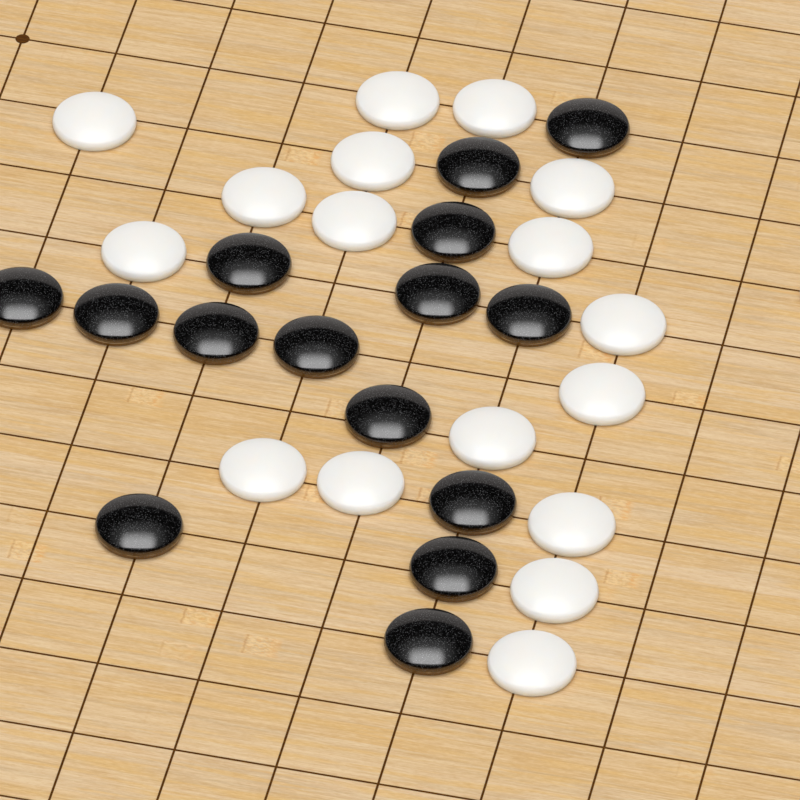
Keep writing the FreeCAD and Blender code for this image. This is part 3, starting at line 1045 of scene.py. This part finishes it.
def black_stone_finish():
    material, recipe, shader = new_material("black_stone")
    place = recipe.place()
    upward = upward_part(recipe)
    inputs = {"Place": place, "Size": FLAKE_SIZE, "Share": FLAKE_SHARE}
    flakes = recipe.group(dust_of_flakes, inputs)["Mask"]
    dust = recipe.times(flakes, recipe.ease(upward, *FLAKE_LEANING))
    # where the painted seam highlight lies; the next noise breaks it into patches
    seam = recipe.ease(recipe.math("ABSOLUTE", upward), *SEAM_LEANING)
    broken_glint = recipe.ease(recipe.noise(place, 240.0, 2.0, 0.5), 0.42, 0.62, 0.0, 0.70)
    layers = [
        # painted reflection of the bamboo round the foot, then the painted seam highlight
        (recipe.ease(upward, *FOOT_LEANING), FOOT_BAMBOO_REFLECTION),
        (recipe.times(seam, broken_glint), SEAM_HIGHLIGHT),
        (dust, FLAKE_GREY),
    ]
    glass = recipe.mix(recipe.noise(place, 300.0, 2.0, 0.5), BLACK_DARK, BLACK_PALE)
    looks = {
        "Base Color": recipe.layers(glass, layers),
        "Metallic": recipe.times(dust, 0.3),
        "Roughness": 0.42,
        "Specular IOR Level": 0.0,
        "Coat Weight": 1.0,
        "Coat Roughness": 0.08,
        "Coat IOR": 1.65,
    }
    recipe.fill(shader.inputs, looks)
    return material


black_stone = black_stone_finish()
print(black_stone.name, "has flakes in", round(100 * FLAKE_SHARE), "of 100 cells")

# %% [markdown]
# The stones that lie on the board are one piece for each colour and ride with the case. Every new
# piece needs the same three things: a finish, a body to ride on, and the solids that it stands
# for, if any, which are hidden. A small function keeps them together.

# %% Stones in play
def finished(piece, material, body, slot, *replaced):
    """Gives a piece its finish and its body and hides the solids it stands for. Slot is not used."""
    piece.data.materials.append(material)
    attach(piece, body)
    if replaced:
        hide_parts(*replaced)
    return piece


for colour, material in (("white", white_stone), ("black", black_stone)):
    piece = mesh_piece(colour + "_stones_in_play", *stones_in_play[colour])
    finished(piece, material, "case", colour + "_stone", colour + "_stones")
    print(piece.name, len(piece.data.polygons), "faces")

# %% [markdown]
# ## Knobs
#
# Each knob is turned from a bamboo rod in one piece with the spigot that is glued into the drawer
# face. The solid is a plain drum on a neck. Here the same sizes get what a turner's tools leave: a
# cove behind the head, a rounded rim and a slightly crowned front.

# %% Knobs
KNOB_NECK = 4.5 * MM             # radius
KNOB_HEAD = 6.0 * MM             # length
KNOB_COVE = 2.0 * MM
KNOB_RIM = 1.3 * MM
KNOB_CROWN = 0.5 * MM
KNOB_SHADE = (0.93, 0.88, 0.80, 1)
KNOB_SEGMENTS = 48


def knob_outline(radius, length):
    """From the end of the spigot to the middle of the front, along the knob's own axis."""
    inner = radius - KNOB_RIM
    rim_sizes = (KNOB_RIM, KNOB_RIM)
    head_back = length - KNOB_HEAD
    cove = arc((inner, head_back), (inner - KNOB_NECK, KNOB_COVE), 180, 90, 8)
    cove = [(x, 2 * head_back - height) for x, height in cove]
    rim_low = arc((inner, head_back + KNOB_RIM), rim_sizes, -90, 0, 6)
    rim_high = arc((inner, length - KNOB_CROWN - KNOB_RIM), rim_sizes, 0, 80, 6)
    last = rim_high[-1][0]
    crown = [(last * share, length - KNOB_CROWN * share ** 2) for share in (0.8, 0.55, 0.3)]
    return [(0, 0), (KNOB_NECK, 0)] + cove + rim_low + rim_high + crown + [(0, length)]


def knob(end, side):
    """side is -1 for the front drawer and 1 for the back one."""
    low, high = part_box(end + "_knob")
    radius = (high.x - low.x) / 2
    length = high.y - low.y
    form = turned(knob_outline(radius, length), KNOB_SEGMENTS)
    inner = high.y if side < 0 else low.y
    place = Matrix.Translation((0, inner, (low.z + high.z) / 2))
    place = place @ Matrix.Rotation(-side * math.pi / 2, 4, "X")
    piece = mesh_piece(end + "_turned_knob", *copies(form, [place]))
    material = bamboo_finish(end + "_knob_bamboo", "YZX", 8.0 + side, shade=KNOB_SHADE)
    return finished(piece, material, end + "_drawer", "knob_bamboo", end + "_knob")


for end, side in (("front", -1), ("back", 1)):
    made = knob(end, side)
    print(made.name, [round(size / MM, 1) for size in made.dimensions], "mm")

# %% [markdown]
# ## Stones in the drawers
#
# Stones that aren't on the board lie in the drawers. A rigid body simulation could pour them in,
# but 160 thin discs take long to come to rest. They almost cover the bottom in one layer, so here the
# layer is a flat problem: discs start at random, drift to the drawer's face as they do each time
# it is pulled, and push one another apart until none overlap.

# %% Settling a layer
DRIFT = 0.15 * MM                # each round, at first
DRIFT_ROUNDS = 600
SETTLE_ROUNDS = 1500
PUSH = 0.7                       # share of an overlap that each of the two gives way


def settled(count, radius, low, high, drift, generator):
    """Spots for discs on a floor from low to high: they drift along Y, then only push apart."""
    low, high = low + radius, high - radius
    spots = generator.uniform(low, high, (count, 2))
    for step in range(SETTLE_ROUNDS):
        spots[:, 1] += drift * max(0.0, 1 - step / DRIFT_ROUNDS)
        offsets = spots[:, None] - spots[None]
        distances = np.hypot(offsets[..., 0], offsets[..., 1])
        np.fill_diagonal(distances, 1.0)
        overlaps = np.clip(2 * radius - distances, 0, None)
        spots += PUSH * (offsets * (overlaps / distances)[..., None]).sum(axis=1)
        spots = np.clip(spots, low, high)
    return spots, overlaps.max()


print("a layer settles in", SETTLE_ROUNDS, "rounds")

# %% [markdown]
# The rest of the stones lie on top, each over three that stand close together. The circle through
# three middles tells how close they are, and its own middle is the spot.

# %% Stones on top
NEAR = 2.6                       # radii from middle to middle, for three that carry a fourth


def circle_through(first, second, third):
    """Middle and radius of the circle through three points, or None where they are in a line."""
    (ax, ay), (bx, by) = second - first, third - first
    cross = 2 * (ax * by - ay * bx)
    if abs(cross) < NOTHING:
        return None
    a_square, b_square = ax * ax + ay * ay, bx * bx + by * by
    offset = np.array((by * a_square - ay * b_square, ax * b_square - bx * a_square)) / cross
    return first + offset, math.hypot(*offset)


def upper_spots(spots, count, radius, low, high):
    """Spots for stones on top: the middles of the tightest threes, apart from each other."""
    found = []
    for index, first in enumerate(spots):
        near = [
            other for other in range(index + 1, len(spots))
            if math.dist(first, spots[other]) < NEAR * radius
        ]
        for second, third in itertools.combinations(near, 2):
            if math.dist(spots[second], spots[third]) > NEAR * radius:
                continue
            circle = circle_through(first, spots[second], spots[third])
            if circle:
                found.append((circle[1], tuple(circle[0])))
    chosen = []
    for reach, spot in sorted(found):
        inside = all(low[axis] + radius < spot[axis] < high[axis] - radius for axis in (0, 1))
        if inside and all(math.dist(spot, other) > 2 * radius for _, other in chosen):
            chosen.append((reach, spot))
        if len(chosen) == count:
            break
    return chosen


touching = np.array([(0.0, 0.0), (2.0, 0.0), (1.0, math.sqrt(3))])
print("on three touching discs of radius 1:", round(circle_through(*touching)[1], 3), "away")

# %% [markdown]
# A full set is 180 white and 181 black stones: white lie in the front drawer, black in the back
# one. Of the lowest layer, some lie with their flat side up.

# %% Stones in the drawers
FULL_SET = {"white": 180, "black": 181}
UPPER_STONES = 19
STONE_ROOM = 0.06 * MM           # left between two stones
FLAT_SIDE_UP = 0.4               # share of the lowest layer
STORED_SEGMENTS = 32


def tray(end):
    """Two corners of the space between a drawer's four walls, seen from above."""
    spans = []
    for axis, walls in enumerate((("left", "right"), ("front", "back"))):
        faces = [corner[axis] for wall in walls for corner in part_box(end + "_box_" + wall)]
        spans.append(sorted(faces)[1:3])
    return np.array(spans).T


def stored_stones(end, colour, material, generator):
    low, high = tray(end)
    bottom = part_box(end + "_box_bottom")[1].z
    radius = STONE_RADIUS + STONE_ROOM / 2
    height = stone_height(colour + "_stones")
    stored = FULL_SET[colour] - len(stone_places(colour + "_stones"))
    face_side = -1 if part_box(end + "_drawer_face")[0].y < 0 else 1
    spots, overlap = settled(
        stored - UPPER_STONES, radius, low, high, face_side * DRIFT, generator
    )
    matrices = []
    for x, y in spots:
        turn = Matrix.Rotation(generator.uniform(0, math.tau), 4, "Z")
        lift = 0.0
        if generator.uniform() < FLAT_SIDE_UP:
            turn = turn @ Matrix.Rotation(math.pi, 4, "X")
            lift = height
        matrices.append(Matrix.Translation((x, y, bottom + lift)) @ turn)
    for _, (x, y) in upper_spots(spots, UPPER_STONES, radius, low, high):
        turn = Matrix.Rotation(generator.uniform(0, math.tau), 4, "Z")
        matrices.append(Matrix.Translation((x, y, bottom + height)) @ turn)
    form = turned(stone_outline(colour, 1), STORED_SEGMENTS)
    piece = mesh_piece(colour + "_stones_in_drawer", *copies(form, matrices))
    finished(piece, material, end + "_drawer", colour + "_stone")
    print(piece.name, len(matrices), "stones, largest overlap", round(overlap / MM, 3), "mm")


pouring = np.random.default_rng(19)
stored_stones("front", "white", white_stone, pouring)
stored_stones("back", "black", black_stone, pouring)

# %% [markdown]
# ## Rubber feet
#
# Four soft feet are glued under the base. They are moulded, so they widen towards the base, have a
# rounded lower edge and a shallow ring in the sole that grips the table. They are turned like the
# stones, from the sizes of the solids that they stand for.

# %% Feet
FOOT_TOP_RADIUS = 9 * MM
SOLE_ROUND = 1.1 * MM
SOLE_RING = (4.0 * MM, 5.4 * MM, 0.35 * MM)     # from, to, depth
FOOT_TAPER = 1.0 * MM
FOOT_SEGMENTS = 48
RUBBER_DARK = srgb(38, 36, 35)
RUBBER_PALE = srgb(54, 52, 50)
RUBBER_RELIEF = 0.03 * MM
DUST = srgb(120, 114, 104)


def foot_rubber_finish():
    material, recipe, shader = new_material("foot_rubber")
    place = recipe.place()
    tone = recipe.mix(recipe.noise(place, 160.0, 3.0, 0.6), RUBBER_DARK, RUBBER_PALE)
    inputs = {"Place": place, "Size": 5.0, "Roughness": 0.6, "Amount": 0.2}
    smudge = recipe.group(handling_smudges, inputs)
    dusty = recipe.mix(recipe.times(smudge["Mask"], 0.25), tone, DUST)
    normal = recipe.bump(recipe.noise(place, 3500.0, 2.0, 0.6), 0.3, RUBBER_RELIEF)
    looks = {"Base Color": dusty, "Roughness": smudge["Roughness"], "Normal": normal}
    recipe.fill(shader.inputs, looks)
    return material


def rubber_feet():
    low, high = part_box("feet")
    tall = high.z - low.z
    sole = FOOT_TOP_RADIUS - FOOT_TAPER
    inner, outer, depth = SOLE_RING
    ring = [(inner, 0), (inner + depth, depth), (outer - depth, depth), (outer, 0)]
    edge = arc((sole - SOLE_ROUND, SOLE_ROUND), (SOLE_ROUND, SOLE_ROUND), -90, 0, 6)
    outline = [(0, 0)] + ring + edge + [(FOOT_TOP_RADIUS, tall), (0, tall)]
    places = [
        Matrix.Translation((x, y, low.z))
        for x in (low.x + FOOT_TOP_RADIUS, high.x - FOOT_TOP_RADIUS)
        for y in (low.y + FOOT_TOP_RADIUS, high.y - FOOT_TOP_RADIUS)
    ]
    piece = mesh_piece("rubber_feet", *copies(turned(outline, FOOT_SEGMENTS), places))
    return finished(piece, foot_rubber_finish(), "case", "foot_rubber", "feet")


print(rubber_feet().name, [round(size / MM, 1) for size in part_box("feet")[1]], "mm")

# %% [markdown]
# ## Base screws
#
# Four countersunk screws hold the base to the sides and are the way in to the drawers. Their heads
# lie flush with the underside. The cross recess is what the eye looks for, and it is made as real
# walls: between the round rim and the recess's floor the rings of points change from a circle to
# a cross, which is a circle whose radius is cut back between its arms.

# %% Screws
SCREW_SHANK = 1.75 * MM
SCREW_HEAD = 3.5 * MM
SCREW_POINT = 2.0 * MM
SCREW_TIP = 0.4 * MM
RECESS_ARM = 1.9 * MM
RECESS_HALF_WIDTH = 0.45 * MM
RECESS_DEPTH = 1.3 * MM
RECESS_FLOOR = (0.7, 0.8, 0.9)   # shares of those three, where the walls meet the floor
SCREW_SEGMENTS = 96
STEEL_DARK = srgb(150, 148, 142)
STEEL_PALE = srgb(184, 182, 174)


def cross_ring(arm, half_width, height):
    """A cross of points, with as many as a circle has."""
    points = []
    for index in range(SCREW_SEGMENTS):
        angle = index * math.tau / SCREW_SEGMENTS
        turn = (angle + math.pi / 4) % (math.pi / 2) - math.pi / 4
        radius = min(arm / math.cos(turn), half_width / max(abs(math.sin(turn)), NOTHING))
        points.append((radius * math.cos(angle), radius * math.sin(angle), height))
    return points


def screw_steel_finish():
    material, recipe, shader = new_material("screw_steel")
    place = recipe.place()
    tone = recipe.mix(recipe.noise(place, 900.0, 3.0, 0.6), STEEL_DARK, STEEL_PALE)
    inputs = {"Place": place, "Size": 2.0, "Roughness": 0.32, "Amount": 0.15}
    smudge = recipe.group(handling_smudges, inputs)
    looks = {"Base Color": tone, "Roughness": smudge["Roughness"], "Metallic": 1.0}
    recipe.fill(shader.inputs, looks)
    return material


def base_screw_pieces():
    low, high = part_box("base_screws")
    length = high.z - low.z
    neck = SCREW_HEAD - SCREW_SHANK
    arm, half_width, depth = RECESS_FLOOR
    rings = [
        [(0.0, 0.0, RECESS_DEPTH)],
        cross_ring(arm * RECESS_ARM, half_width * RECESS_HALF_WIDTH, depth * RECESS_DEPTH),
        cross_ring(RECESS_ARM, RECESS_HALF_WIDTH, 0.0),
    ]
    body = [(SCREW_HEAD, 0.0), (SCREW_SHANK, neck), (SCREW_SHANK, length - SCREW_POINT)]
    body += [(SCREW_TIP, length), (0.0, length)]
    rings += [ring_at(radius, height, SCREW_SEGMENTS) for radius, height in body]
    places = []
    for x in (low.x + SCREW_HEAD, high.x - SCREW_HEAD):
        for y in (low.y + SCREW_HEAD, high.y - SCREW_HEAD):
            turn = Matrix.Rotation(random.uniform(0, math.tau), 4, "Z")
            places.append(Matrix.Translation((x, y, low.z)) @ turn)
    form = join_rings(rings)
    piece = mesh_piece("base_screws_driven", *copies(form, places), smooth=False)
    return finished(piece, screw_steel_finish(), "case", "screw_steel", "base_screws")


print(base_screw_pieces().name, "with recesses", RECESS_DEPTH / MM, "mm deep")
